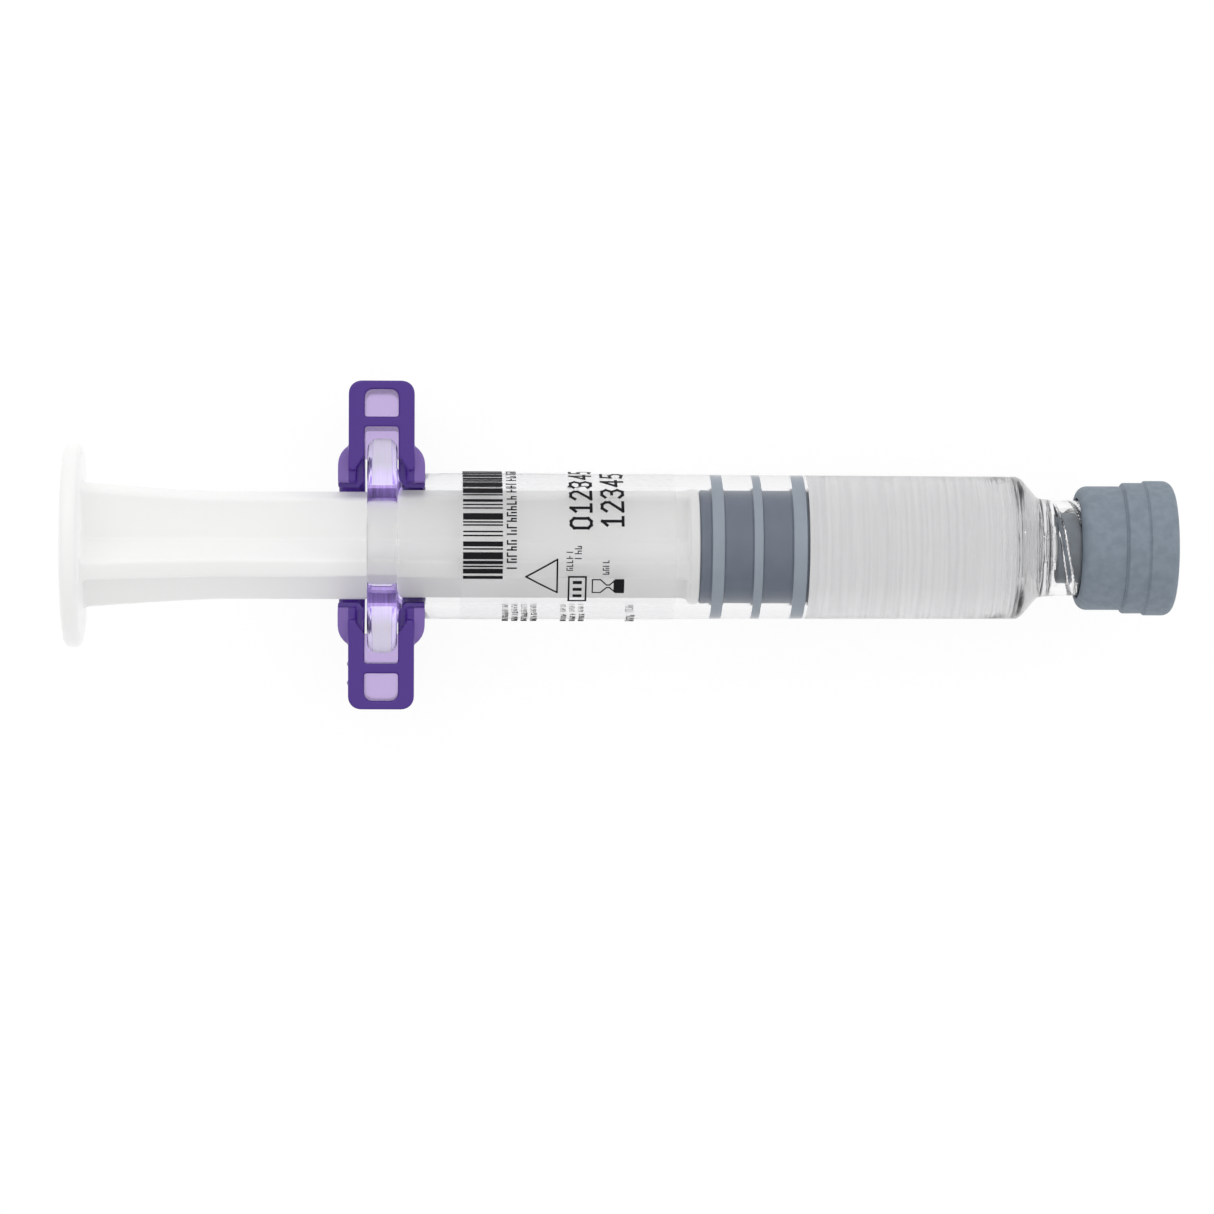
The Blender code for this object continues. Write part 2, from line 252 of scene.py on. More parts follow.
# %% Turn the barrel
barrel_outline = rounded([
    (flange_start, BORE_R + 0.25, 0.15), (flange_start, FLANGE_R, FLANGE_EDGE),
    (flange_end, FLANGE_R, FLANGE_EDGE), (flange_end, TUBE_REAR_R, 0.6), (SHOULDER_OUTER, TUBE_FRONT_R, 1.0),
    (COLLAR_START, COLLAR_R + 0.2, 0.8), (COLLAR_START + 1.75, COLLAR_R, 0),
    (COLLAR_END, COLLAR_R, 0.25), (COLLAR_END, COLLAR_BORE_R, 0.2),
    (COLLAR_FLOOR, COLLAR_BORE_R, 0.5), (COLLAR_FLOOR, NOZZLE_BASE_R, 0.5),
    (nozzle_end, NOZZLE_TIP_R, 0.3), (nozzle_end, LUMEN_R, 0.2), (LUMEN_START, LUMEN_R, 0.5),
    (SHOULDER, BORE_R, 0.7), (flange_start + 0.4, BORE_R, 0.3),
])
barrel_outline = finer(barrel_outline, COLLAR_FLOOR, COLLAR_END, 0.1)
barrel_outline = finer(barrel_outline, flange_start, flange_end, 0.1)
barrel = lathe("clear_barrel", barrel_outline, barrel_shape)

# %% [markdown]
# ## The stopper
# A rubber plug with three sealing ribs. The ribs are a little larger than the bore, so they are
# pressed flat against it, and a paler copy of the rubber, painted light, shows them lighter than the
# waists between them. Each rib touches the bore by a hundredth of a millimetre here, so that no air film
# shows in front of it.

# %% Turn the stopper
RIBS = ((64.6, 65.75), (68.75, 69.6), (72.7, 74.0))
WAIST_R, TOUCH_R = 5.66, BORE_R + 0.008
STUB_R, STUB_END = 2.35, 69.15  # the rod's stub, which screws into the stopper
SOCKET_R, SOCKET_END = STUB_R + 0.15, STUB_END + 0.3
stopper_corners = [(stopper_start, SOCKET_R, 0), (stopper_start, WAIST_R + 0.08, 0.25)]
for rib_start, rib_end in RIBS:
    stopper_corners += [(rib_start - 0.18, WAIST_R, 0.1), (rib_start, TOUCH_R, 0.06),
                        (rib_end, TOUCH_R, 0.06), (rib_end + 0.18, WAIST_R, 0.05)]
stopper_corners += [(stopper_end, WAIST_R - 0.2, 0.2), (stopper_end, 0, 0),
                    (SOCKET_END, 0, 0), (SOCKET_END, SOCKET_R, 0.4)]
stopper = lathe("rubber_stopper", rounded(stopper_corners))

# %% [markdown]
# ## The tip cap
# Softer grey rubber: a skirt that hugs the collar, a wider band, and a head with a rounded end. A
# sleeve inside the collar seals the nozzle. It is turned in one piece with its deep groove, a fine
# groove at each step sets the bands off, and a shallow wave in its radius keeps it from looking
# machined, because such caps are moulded soft.

# %% Turn the cap
CAP_START, GROOVE_END, SKIRT_BORE_R, SLEEVE_R = 101.65, 106.0, 5.0, 3.55
SKIRT_R, BAND_R, CAP_HEAD_R = 6.25, 6.6, 6.8


def nozzle_radius(along):
    share = (along - COLLAR_FLOOR) / (nozzle_end - COLLAR_FLOOR)
    return NOZZLE_BASE_R + (NOZZLE_TIP_R - NOZZLE_BASE_R) * share


def soft_round(along, radius, angle):
    """A hundredth of a millimetre of moulding unevenness on the outside."""
    wave = math.sin(3 * angle + along) + math.sin(5 * angle - 0.7 * along)
    return along, radius + (0.008 * wave - 0.016 if radius > SKIRT_BORE_R + 0.1 else 0)


blind_end = nozzle_end + 0.3
cap = lathe("rubber_tip_cap", finer(rounded([
    (CAP_START, SKIRT_BORE_R, 0.15), (CAP_START, SKIRT_R, 1.0), (105.95, SKIRT_R, 0.1),
    (106.1, SKIRT_R - 0.13, 0.1), (106.25, BAND_R, 0.2), (108.2, BAND_R, 0.1),
    (108.32, BAND_R - 0.1, 0.1), (108.45, CAP_HEAD_R, 0.15), (cap_end, CAP_HEAD_R, 1.0),
    (cap_end, 0, 0), (blind_end, 0, 0), (blind_end, nozzle_radius(blind_end) + 0.1, 0.2),
    (sleeve_start, nozzle_radius(sleeve_start) + 0.1, 0), (sleeve_start, SLEEVE_R, 0.3),
    (GROOVE_END, SLEEVE_R, 0.3), (GROOVE_END, SKIRT_BORE_R, 0.3),
]), CAP_START, cap_end, 1.0), soft_round)

# %% [markdown]
# ## The plunger rod
# A white moulding: a thumb disc, four ribs that widen towards it, and a head disc with the stub that
# screws into the stopper. The ribs are lofted through stations, because their height changes along
# the rod and they spread into a fillet at each end. The two discs are turned, and a Boolean joins
# the three, as the mould does.

# %% Helper: Boolean
def boolean(obj, tool, operation):
    """Joins or cuts obj with a tool, applies it and removes the tool."""
    modifier = obj.modifiers.new(operation, "BOOLEAN")
    modifier.operation, modifier.solver, modifier.object = operation, "EXACT", tool
    bpy.context.view_layer.update()
    mesh = bpy.data.meshes.new_from_object(obj.evaluated_get(bpy.context.evaluated_depsgraph_get()))
    obj.modifiers.clear()
    obj.data = mesh
    bpy.data.objects.remove(tool)


# %% Ribs
THUMB_R, THUMB_T = (rod_high.z - rod_low.z) / 2 / MM, 1.8
HEAD_START, HEAD_END, HEAD_R = 62.35, 63.35, 5.78
RIB_R, RIB_T, RIB_TURN = 5.6, 2.08, math.radians(25)
FLARE, FLARE_LENGTH, FLARE_POWER = 0.95, 14.0, 1.3
ROOT = 0.7  # reach of the fillets at both ends of the ribs


def rib_size(along):
    """Rib radius and thickness at a station."""
    flare = 1 - min(1, max(0, (along - THUMB_T) / FLARE_LENGTH))
    near = min(1, max(0, min(along - THUMB_T, HEAD_START - along) / ROOT))
    fillet = ROOT * (1 - math.sqrt(max(0, 1 - (1 - near) ** 2)))
    radius = RIB_R + FLARE * flare ** FLARE_POWER
    return radius, RIB_T + 1.6 * fillet


def rib_section(along):
    radius, thick = rib_size(along)
    half, corners = thick / 2, []
    for k in range(4):
        turn = Matrix.Rotation(math.pi / 2 * k, 2)
        for u, v, fillet in ((half, half, 0.55), (half, radius, 0.45), (-half, radius, 0.45)):
            corners.append((*(turn @ Vector((u, v))), fillet))
    return [Vector((p.length, math.atan2(p.x, p.y))) for p in rounded(corners, 5)]


rib_stations = [THUMB_T / 2] + [THUMB_T + ROOT * (k / 6) ** 2 for k in range(7)]
rib_stations += [THUMB_T + ROOT + (FLARE_LENGTH - ROOT) * k / 24 for k in range(1, 25)]
rib_stations += [HEAD_START - ROOT * (k / 6) ** 2 for k in range(6, -1, -1)] + [(HEAD_START + HEAD_END) / 2]
vertices, faces, count = [], [], len(rib_section(30))
for row, along in enumerate(rib_stations):
    vertices += [at(along, p.x, p.y - RIB_TURN) for p in rib_section(along)]
    faces += [((row - 1) * count + (k + 1) % count, (row - 1) * count + k, row * count + k,
               row * count + (k + 1) % count) for k in range(count) if row]
faces += [range(count), range(len(vertices) - count, len(vertices))]
rod = finish_mesh("plunger_rod_moulding", vertices, faces)
print("rib stations:", len(rib_stations), "points round:", count)

# %% Discs and stub
boolean(rod, lathe("thumb disc", rounded([
    (0, 0, 0), (0, THUMB_R, 0.75), (THUMB_T, THUMB_R, 0.75), (THUMB_T, 0, 0)])), "UNION")
boolean(rod, lathe("head disc", rounded([
    (HEAD_START, 0, 0), (HEAD_START, HEAD_R, 0.25), (HEAD_END, HEAD_R, 0.25), (HEAD_END, STUB_R, 0),
    (STUB_END, STUB_R, 0.4), (STUB_END, 0, 0)])), "UNION")
rod.data.shade_smooth()
rod.data.set_sharp_from_angle(angle=math.radians(35))
print("rod:", len(rod.data.polygons), "faces")

# %% [markdown]
# ## The finger grip
# A violet clip. A saddle wraps the barrel from behind and springs over it, a slot takes the flange,
# and two hollow wings give the fingers something to pull on. It is cut the way a toolmaker would:
# block out the saddle and wings, then sink the bore, the slot and the pockets. A voxel remesh and a
# light smoothing then round every edge by the same small amount, as a mould does. Thin webs close the
# openings and let light through, so each of them is a piece of its own.

# %% Helper: prisms
def prism(name, outline, low, high, upright):
    """A flat outline pushed from low to high, along the axis or, if upright, along Z."""
    rows = []
    for height in (low, high):
        if upright:
            rows += [(thumb_x + p.x * MM, p.y * MM, axis_z + height * MM) for p in outline]
        else:
            rows += [(thumb_x + height * MM, p.x * MM, axis_z + p.y * MM) for p in outline]
    n = len(outline)
    sides = [(k, (k + 1) % n, n + (k + 1) % n, n + k) for k in range(n)]
    return finish_mesh(name, rows, sides + [range(n), range(n, 2 * n)])


def rectangle(x0, x1, y0, y1, radius=0.0):
    return rounded([(x0, y0, radius), (x1, y0, radius), (x1, y1, radius), (x0, y1, radius)])


# %% Grip sizes
SADDLE_HALF, SADDLE_TOP, SADDLE_BOTTOM, SADDLE_CORNER_R = 10.2, 5.8, -10.0, 2.2
LEDGE_TOP, LEDGE_HALF, LEDGE_MOUTH, LEDGE_MOUTH_Y = 4.85, 6.2, 0.85, 7.65
WING_START, WING_END, WING_ROOT, WING_TIP = 28.4, 34.95, 7.4, reach("finger_grip")
WING_TOP, WING_BOTTOM, END_WALL = 6.4, -7.5, 0.85
WEB, WEB_HEIGHT, BITE = 1.2, -1.15, 0.05  # thickness, underside of the outer webs, overlap with the wall
CROSSBAR, CROSSBAR_T = 11.73, 1.0
SLOT_HALF = 8.85
GAP = 0.1
slot = (flange_start - 0.25, flange_end + GAP)
below, above = SADDLE_BOTTOM - 1, WING_TOP + 2


def mirrored(points):
    """Closes an outline that is drawn on the +Y side only."""
    return rounded(points + [(x, -y, r) for x, y, r in reversed(points)])


def window(side, grow):
    """The outline of an outer pocket. Its two corners at the wing's tip are round."""
    near = side * (CROSSBAR + CROSSBAR_T - grow)
    far = side * (WING_TIP - END_WALL + grow)
    return rounded([(slot[0] - grow, near, 0), (slot[0] - grow, far, 0.8),
                    (slot[1] + grow, far, 0.8), (slot[1] + grow, near, 0)])


# %% Block out the saddle and the wings
grip = prism("violet_finger_grip", rounded([
    (-SADDLE_HALF, SADDLE_TOP, 1.4), (-SADDLE_HALF, SADDLE_BOTTOM, 5.5),
    (SADDLE_HALF, SADDLE_BOTTOM, 5.5), (SADDLE_HALF, SADDLE_TOP, 1.4)]), grip_start, grip_end, False)
corners = rectangle(grip_start, grip_end, -SADDLE_HALF, SADDLE_HALF, SADDLE_CORNER_R)
boolean(grip, prism("corners", corners, below, above, True), "INTERSECT")
for side in (-1, 1):
    outline = rounded([(WING_START, side * WING_ROOT, 0.3), (WING_START, side * WING_TIP, 1.25),
                       (WING_END, side * WING_TIP, 1.25), (WING_END, side * WING_ROOT, 0.3)])
    boolean(grip, prism("wing", outline, WING_BOTTOM, WING_TOP, True), "UNION")

# %% Cut the bore, the pockets, the slot and the ledge
boolean(grip, lathe("bore", rounded([
    (grip_start - 1, 0, 0), (grip_start - 1, TUBE_REAR_R + GAP, 0),
    (flange_start - 0.8, TUBE_REAR_R + GAP, 0), (flange_start, TUBE_REAR_R + 0.9, 0),
    (flange_end, TUBE_REAR_R + 0.9, 0), (flange_end + 0.8, TUBE_REAR_R + GAP, 0),
    (grip_end + 1, TUBE_REAR_R + GAP, 0), (grip_end + 1, 0, 0)])), "DIFFERENCE")
for side in (-1, 1):
    boolean(grip, prism("pocket", window(side, 0), below, above, True), "DIFFERENCE")
boolean(grip, prism("slot", rectangle(*slot, -CROSSBAR, CROSSBAR), below, above, True), "DIFFERENCE")
boolean(grip, prism("ledge", mirrored([
    (grip_start - 1, LEDGE_HALF, 0), (slot[0] - LEDGE_MOUTH, LEDGE_HALF, 0),
    (slot[0] - LEDGE_MOUTH, LEDGE_MOUTH_Y, 0), (slot[0], SLOT_HALF, 0), (slot[1], SLOT_HALF, 0),
    (slot[1] + LEDGE_MOUTH, LEDGE_MOUTH_Y, 0), (slot[1] + LEDGE_MOUTH, LEDGE_HALF, 0),
    (grip_end + 1, LEDGE_HALF, 0)]), LEDGE_TOP, above, True), "DIFFERENCE")

# %% Thin webs that close the pockets
webs = []
for side, label in ((-1, "b"), (1, "a")):
    outer = window(side, BITE)
    webs.append(prism(f"violet_web_outer_{label}", outer, WEB_HEIGHT, WEB_HEIGHT + WEB, True))
    ends = sorted((side * SLOT_HALF, side * (CROSSBAR + BITE)))
    inner = rectangle(slot[0] - BITE, slot[1] + BITE, *ends)
    webs.append(prism(f"violet_web_inner_{label}", inner, WING_BOTTOM, WING_BOTTOM + WEB, True))

# %% Two small moulding marks on one wing
for place in (-11.8, -13.7):
    mark = bmesh.new()
    bmesh.ops.create_uvsphere(mark, u_segments=16, v_segments=8, radius=0.28 * MM)
    bmesh.ops.translate(mark, vec=(thumb_x + (WING_START + 0.12) * MM, place * MM, axis_z + 4.5 * MM),
                        verts=mark.verts)
    mesh = bpy.data.meshes.new("moulding mark")
    mark.to_mesh(mesh)
    nub = bpy.data.objects.new("moulding mark", mesh)
    bpy.context.scene.collection.objects.link(nub)
    boolean(grip, nub, "UNION")

# %% Round every edge
def soften(obj, voxel, passes):
    """Remeshes a sharp solid and smooths it, so that every edge gets a small radius."""
    remesh = obj.modifiers.new("voxels", "REMESH")
    remesh.mode, remesh.voxel_size = "VOXEL", voxel * MM
    smooth = obj.modifiers.new("smooth", "SMOOTH")
    smooth.factor, smooth.iterations = 0.5, passes
    bpy.context.view_layer.update()
    mesh = bpy.data.meshes.new_from_object(obj.evaluated_get(bpy.context.evaluated_depsgraph_get()))
    obj.modifiers.clear()
    obj.data = mesh
    mesh.shade_smooth()


soften(grip, 0.11, 12)
print("grip:", len(grip.data.polygons), "faces")

# %% [markdown]
# ## The gel
# The filling is a clear gel. In the bore it is a plain column from the stopper to the shoulder, and a
# second piece fills the shoulder and the nozzle. Both overlap the wall by two hundredths of a
# millimetre: light then leaves plastic and enters gel at one surface, with no film of air between them
# that would shine like a mirror.

# %% Turn the gel
WET = 0.02
COLUMN_END = SHOULDER - 0.25
column = lathe("gel_in_bore", rounded([
    (stopper_end, 0, 0), (stopper_end, BORE_R + WET, 0), (COLUMN_END, BORE_R + WET, 0),
    (COLUMN_END, 0, 0)]))
tip_gel = lathe("gel_in_tip", rounded([
    (COLUMN_END - WET, 0, 0), (COLUMN_END - WET, BORE_R + WET / 2, 0), (SHOULDER + WET, BORE_R + WET, 0.2),
    (LUMEN_START + WET, LUMEN_R + WET, 0.3), (nozzle_end, LUMEN_R + WET, 0), (nozzle_end, 0, 0)]))

# %% [markdown]
# ## The label and its print
# A clear film goes most of the way round the barrel, with black print whose lines run round it. The
# print here is generic: a pattern of bars, mock words made of short strokes that are no letters,
# plain digits, a boxed mark, a triangle and an hourglass. Every mark is drawn flat, in millimetres, and then
# wrapped: u runs round the barrel, v up the height of the letters, towards the thumb disc.

# %% Film
LABEL_WRAP = math.radians(330)


def film_shape(start, end, inner, outer, sweep, steps):
    """A thin sheet bent round the axis, closed at its edges."""
    vertices, faces = [], []
    for k in range(steps + 1):
        angle = -sweep / 2 + sweep * k / steps
        vertices += [at(x, r, angle) for x, r in
                     ((start, inner), (end, inner), (end, outer), (start, outer))]
    for k in range(steps):
        for j in range(4):
            a, b = 4 * k + j, 4 * k + (j + 1) % 4
            faces.append((a, b, b + 4, a + 4))
    last = 4 * steps
    return vertices, faces + [(0, 1, 2, 3), (last, last + 1, last + 2, last + 3)]


FILM_T = 0.1
film = finish_mesh("clear_label_film", *film_shape(
    label_start, label_end, label_r - FILM_T, label_r, LABEL_WRAP, 120))

# %% Helper: ink
INK_T = 0.015
PRINT_BASE = 43.7  # the station that the lines of print stand on


class Ink:
    """Collects flat marks and wraps them on the film as one thin solid piece."""

    def __init__(self):
        self.quads = []

    def bar(self, u0, u1, v0, v1):
        """An upright rectangle, cut into short steps that can follow the curve."""
        steps = max(1, math.ceil(abs(u1 - u0) / 0.35))
        cuts = [u0 + (u1 - u0) * k / steps for k in range(steps + 1)]
        self.quads += [[(a, v0), (b, v0), (b, v1), (a, v1)] for a, b in zip(cuts, cuts[1:])]

    def stroke(self, points, width):
        """A pen line through points, as a chain of short slabs with square joints."""
        for (ua, va), (ub, vb) in zip(points, points[1:]):
            along = Vector((ub - ua, vb - va))
            steps = max(1, math.ceil(along.length / 0.35))
            side = along.orthogonal().normalized() * width / 2
            reach_on = along.normalized() * width / 2
            start, end = Vector((ua, va)) - reach_on, Vector((ub, vb)) + reach_on
            cuts = [start.lerp(end, k / steps) for k in range(steps + 1)]
            self.quads += [[a - side, b - side, b + side, a + side] for a, b in zip(cuts, cuts[1:])]

    def wrap(self, name):
        """Makes the piece. v is measured from the base station towards the thumb disc."""
        vertices, faces = [], []
        for quad in self.quads:
            first = len(vertices)
            for radius in (label_r - 0.004, label_r + INK_T):
                vertices += [at(PRINT_BASE - v, radius, u / label_r) for u, v in quad]
            a, b, c, d, e, f, g, h = range(first, first + 8)
            faces += [(d, c, b, a), (e, f, g, h), (a, b, f, e), (b, c, g, f), (c, d, h, g), (d, a, e, h)]
        print(f"{name}: {len(self.quads)} marks")
        return finish_mesh(name, vertices, faces)


# %% Bars
random.seed(7)
bars = Ink()
u = -3.45
while u < 13.5:
    width = random.choice((0.16, 0.16, 0.33, 0.5, 0.7))
    bars.bar(u, u + width, 0, 3.95)
    u += width + random.choice((0.16, 0.25, 0.33, 0.5))
bar_print = bars.wrap("label_bars")

# %% Mock words
def mock_line(ink, start, end, low, high, width):
    """Fills a line with shapes as wide as letters, each a post with one or two arms."""
    size, u = high - low, start
    while u < end:
        for _ in range(random.randint(3, 7)):
            cell, middle = size * random.uniform(0.42, 0.6), (low + high) / 2
            ink.stroke([(u, low), (u, high)], width)
            if random.random() < 0.7:
                level = random.choice((low, middle, high))
                ink.stroke([(u, level), (u + cell * 0.75, level)], width)
            if random.random() < 0.5:
                ink.stroke([(u + cell * 0.75, low), (u + cell * 0.75, middle)], width)
            u += cell + width * 1.4
            if u > end:
                return
        u += size * 0.4


words = Ink()
mock_line(words, -2.3, 11.5, -1.3, -0.45, 0.15)
mock_line(words, -1.3, 0.0, -7.75, -7.15, 0.1)
mock_line(words, -2.5, -0.3, -6.9, -6.35, 0.1)
mock_line(words, -2.9, -1.5, -10.5, -9.95, 0.1)
for row in range(4):
    mock_line(words, -13.5, -8.2, -0.6 - 0.95 * row, -0.1 - 0.95 * row, 0.1)
for row in range(3):
    mock_line(words, -13.0, -8.6, -6.4 - 0.9 * row, -5.95 - 0.9 * row, 0.1)
mock_line(words, -13.0, -8.6, -13.2, -12.5, 0.12)
word_print = words.wrap("label_mock_words")

# %% Digits
STROKES = {
    "0": [[(0, 0.3), (0, 1.7), (0.3, 2), (0.7, 2), (1, 1.7), (1, 0.3), (0.7, 0), (0.3, 0), (0, 0.3)]],
    "1": [[(0.15, 1.55), (0.55, 2), (0.55, 0)], [(0.15, 0), (0.95, 0)]],
    "2": [[(0, 1.6), (0.3, 2), (0.75, 2), (1, 1.65), (1, 1.3), (0, 0), (1, 0)]],
    "3": [[(0, 1.7), (0.3, 2), (0.75, 2), (1, 1.6), (0.75, 1.05), (0.4, 1.05)],
          [(0.75, 1.05), (1, 0.5), (0.75, 0), (0.3, 0), (0, 0.3)]],
    "4": [[(0.75, 0), (0.75, 2), (0, 0.6), (1, 0.6)]],
    "5": [[(1, 2), (0.1, 2), (0, 1.1), (0.6, 1.2), (1, 0.8), (1, 0.35), (0.7, 0), (0, 0.1)]],
}


def write(ink, text, start, low, height, width):
    """Writes plain digits along u, each about half as wide as it is tall."""
    scale = height / 2
    for place, digit in enumerate(text):
        for points in STROKES[digit]:
            ink.stroke([(start + (place * 1.62 + u) * scale, low + v * scale) for u, v in points], width)


digits = Ink()
write(digits, "012345", 1.75, -8.75, 2.0, 0.3)
write(digits, "12345", 1.9, -11.9, 2.05, 0.3)
digit_print = digits.wrap("label_digits")

# %% Boxed mark, triangle and hourglass
marks = Ink()
marks.stroke([(-6.1, -8.25), (-3.2, -8.25), (-3.2, -6.55), (-6.1, -6.55), (-6.1, -8.25)], 0.18)
for k in range(3):
    marks.bar(-5.6 + 0.8 * k, -5.25 + 0.8 * k, -7.85, -6.95)
marks.stroke([(-5.0, -5.4), (-1.4, -5.4), (-3.2, -2.3), (-5.0, -5.4)], 0.17)
marks.stroke([(-5.0, -12.0), (-3.5, -12.0), (-3.5, -11.2), (-4.1, -10.6), (-4.1, -10.3), (-3.5, -9.7),
              (-3.5, -8.9), (-5.0, -8.9), (-5.0, -9.7), (-4.4, -10.3), (-4.4, -10.6), (-5.0, -11.2),
              (-5.0, -12.0)], 0.13)
marks.bar(-4.95, -3.55, -11.95, -11.0)
mark_print = marks.wrap("label_marks")

# %% [markdown]
# ## Finishes
# Each finish is a Principled shader whose roughness and bump come from procedural noise, at the size
# that the real surface shows: faint waves in the clear plastic, fine streaks in the gel, a dry mottle
# on the rubber. Clear plastic and gel are glass-like, each with its own index, and the film is a pane
# that hardly covers what is under it.

# %% Helper: materials
def new_material(name, color, roughness, **values):
    """A Principled material. Further values name its sockets, with _ for a space."""
    made = bpy.data.materials.new(name)
    made.use_nodes = True
    shader = made.node_tree.nodes["Principled BSDF"]
    shader.inputs["Base Color"].default_value = (*color, 1)
    shader.inputs["Roughness"].default_value = roughness
    for socket, value in values.items():
        shader.inputs[socket.replace("_", " ")].default_value = value
    return made


def noise(made, scale, detail=3.0, stretch=(1, 1, 1)):
    """A noise pattern in the piece's own space, with features of about 1 / scale metres."""
    tree = made.node_tree
    place = tree.nodes.new("ShaderNodeTexCoord")
    mapping = tree.nodes.new("ShaderNodeMapping")
    mapping.inputs["Scale"].default_value = stretch
    pattern = tree.nodes.new("ShaderNodeTexNoise")
    pattern.inputs["Scale"].default_value = scale
    pattern.inputs["Detail"].default_value = detail
    tree.links.new(place.outputs["Object"], mapping.inputs["Vector"])
    tree.links.new(mapping.outputs["Vector"], pattern.inputs["Vector"])
    return pattern.outputs["Fac"]


def ramp(made, source, low, high, to_low, to_high):
    """Maps a range of a pattern to a range of values."""
    node = made.node_tree.nodes.new("ShaderNodeMapRange")
    for socket, value in zip(("From Min", "From Max", "To Min", "To Max"), (low, high, to_low, to_high)):
        node.inputs[socket].default_value = value
    made.node_tree.links.new(source, node.inputs["Value"])
    return node.outputs["Result"]


def drive(made, source, socket):
    """Lets a pattern set one socket of the shader."""
    made.node_tree.links.new(source, made.node_tree.nodes["Principled BSDF"].inputs[socket])


def bump(made, source, depth, strength=1.0):
    """Raises the surface by a pattern, depth metres high."""
    node = made.node_tree.nodes.new("ShaderNodeBump")
    node.inputs["Distance"].default_value = depth
    node.inputs["Strength"].default_value = strength
    made.node_tree.links.new(source, node.inputs["Height"])
    drive(made, node.outputs["Normal"], "Normal")


def tint(made, source, low, high):
    """Varies the base colour between two shades."""
    node = made.node_tree.nodes.new("ShaderNodeMix")
    node.data_type = "RGBA"
    node.inputs["A"].default_value, node.inputs["B"].default_value = (*low, 1), (*high, 1)
    made.node_tree.links.new(source, node.inputs["Factor"])
    drive(made, node.outputs["Result"], "Base Color")


def past(made, source, edge, soft=0.05 * MM):
    """1 beyond an edge and 0 before it, with a soft step."""
    return ramp(made, source, edge - soft, edge + soft, 0.0, 1.0)


def combine(made, operation, a, b=None):
    """One step of arithmetic on one or two patterns."""
    node = made.node_tree.nodes.new("ShaderNodeMath")
    node.operation = operation
    made.node_tree.links.new(a, node.inputs[0])
    if b:
        made.node_tree.links.new(b, node.inputs[1])
    return node.outputs["Value"]


def position(made, axis):
    """The X, Y or Z of the point in the piece's own space."""
    place = made.node_tree.nodes.new("ShaderNodeTexCoord")
    split = made.node_tree.nodes.new("ShaderNodeSeparateXYZ")
    made.node_tree.links.new(place.outputs["Object"], split.inputs["Vector"])
    return split.outputs[axis]


def absorb(made, color, density):
    """Colours what passes through the depth of a clear piece."""
    node = made.node_tree.nodes.new("ShaderNodeVolumeAbsorption")
    node.inputs["Color"].default_value, node.inputs["Density"].default_value = (*color, 1), density
    made.node_tree.links.new(node.outputs["Volume"],
                             made.node_tree.nodes["Material Output"].inputs["Volume"])


def wear(obj, made, body, slot_name, *nodes):
    """Gives a piece its material and its body, and hides the coarse nodes that it stands for. slot_name is
    not used.
    """
    obj.data.materials.clear()
    obj.data.materials.append(made)
    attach(obj, body)
    if nodes:
        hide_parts(*nodes)


# %% Clear plastic, with a low index along the tube so that what is inside stays bright
TUBE_INDEX, TIP_INDEX = 1.25, 1.5
# The emission colour is for a painted violet glow in the flange, driven below.
clear = new_material("clear plastic", (1.0, 1.0, 1.0), 0.02, IOR=TUBE_INDEX, Transmission_Weight=1.0,
                     Emission_Color=(0.5, 0.32, 1.0, 1))
along_x = position(clear, "X")
tip_start, tip_end = thumb_x + (SHOULDER - 2) * MM, thumb_x + SHOULDER * MM
drive(clear, ramp(clear, along_x, tip_start, tip_end, TUBE_INDEX, TIP_INDEX), "IOR")

# Painted violet light: the flange glows violet beside the rod, in fine streaks round the rim, standing in
# for the clip's violet seen through it.
across = combine(clear, "ABSOLUTE", position(clear, "Y"))
rising = ramp(clear, across, 3.5 * MM, 6.2 * MM, 0.0, 0.25)
falling = ramp(clear, across, 6.8 * MM, 8.0 * MM, 1.0, 0.0)
beside_rod = combine(clear, "MULTIPLY", rising, falling)
rim_end, past_rim = thumb_x + (flange_end - 0.1) * MM, thumb_x + (flange_end + 0.4) * MM
in_flange = ramp(clear, along_x, rim_end, past_rim, 1.0, 0.0)
streaky = ramp(clear, noise(clear, 3000, 2, (1, 0.05, 0.05)), 0.35, 0.65, 0.45, 1.25)
painted_violet_glow = combine(clear, "MULTIPLY", in_flange, combine(clear, "MULTIPLY", beside_rod, streaky))
drive(clear, painted_violet_glow, "Emission Strength")
# Painted violet light: the flange's outer part is tinted lavender for the clip seen through it.
painted_lavender_mask = combine(clear, "MULTIPLY", in_flange, ramp(clear, across, 5.5 * MM, 7.0 * MM, 0.0, 1.0))
tint(clear, painted_lavender_mask, (1.0, 1.0, 1.0), (0.84, 0.78, 0.92))
bump(clear, noise(clear, 420, 2, (0.35, 1, 1)), 0.00001, 0.6)
absorb(clear, (0.75, 0.75, 0.77), 90)
wear(barrel, clear, "barrel", "clear_plastic", "barrel")

# %% Clear film
film_finish = new_material("label film", (0.9, 0.9, 0.92), 0.08, Alpha=0.04)
bump(film_finish, noise(film_finish, 900, 2), 0.000004, 0.5)
wear(film, film_finish, "barrel", "label_film", "label")

# %% Black print
ink_finish = new_material("print ink", (0.008, 0.008, 0.01), 0.5, Specular_IOR_Level=0.1)
drive(ink_finish, ramp(ink_finish, noise(ink_finish, 3000), 0.3, 0.7, 0.4, 0.65), "Roughness")
for piece in (bar_print, word_print, digit_print, mark_print):
    wear(piece, ink_finish, "barrel", "label_ink")

